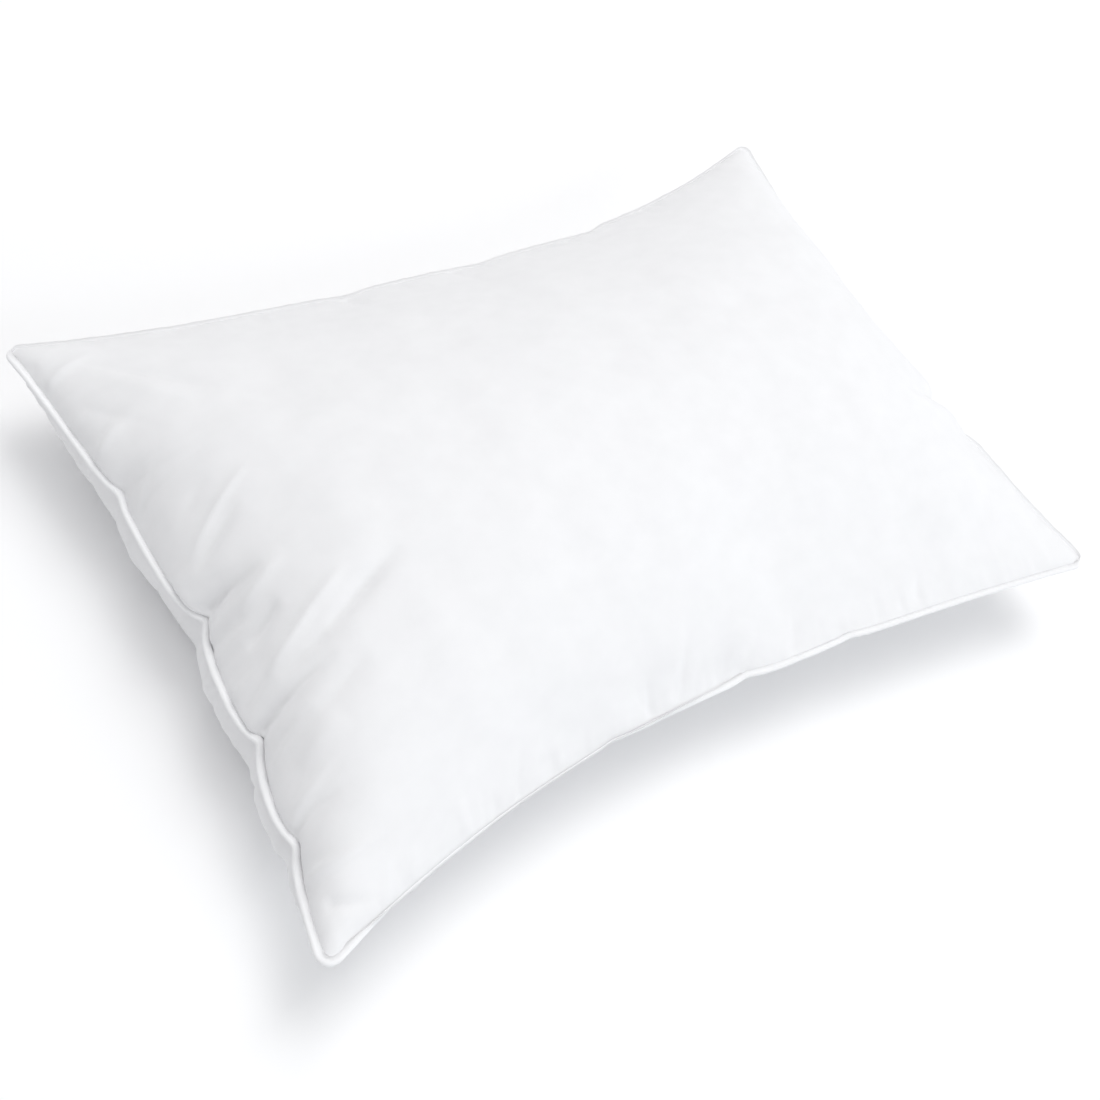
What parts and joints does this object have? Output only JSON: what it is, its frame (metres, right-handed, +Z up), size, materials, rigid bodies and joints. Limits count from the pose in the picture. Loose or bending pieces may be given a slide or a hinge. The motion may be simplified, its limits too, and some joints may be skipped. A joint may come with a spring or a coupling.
{
  "type": "bed pillow",
  "caption": "Plump white rectangular bed pillow with a piped seam all round and pointed, softly rounded corners.",
  "frame": {"origin": "centre of the bounding box on the surface the pillow lies on", "axes": "+X along the long direction, towards the end with the closing seam; +Y across the pillow; +Z up"},
  "size_m": [0.676, 0.483, 0.1487],
  "materials": {
    "ticking": "matt",
    "piping_cloth": "matt",
    "cord": "matt",
    "thread": "matt",
    "filling": "matt"
  },
  "bodies": {
    "root": {"top_panel": "ticking", "bottom_panel": "ticking", "piping_cover": "piping_cloth", "piping_cord": "cord", "seam_needle_thread": "thread", "seam_bobbin_thread": "thread", "closing_needle_thread": "thread", "closing_bobbin_thread": "thread", "filling": "filling"}
  },
  "joints": []
}
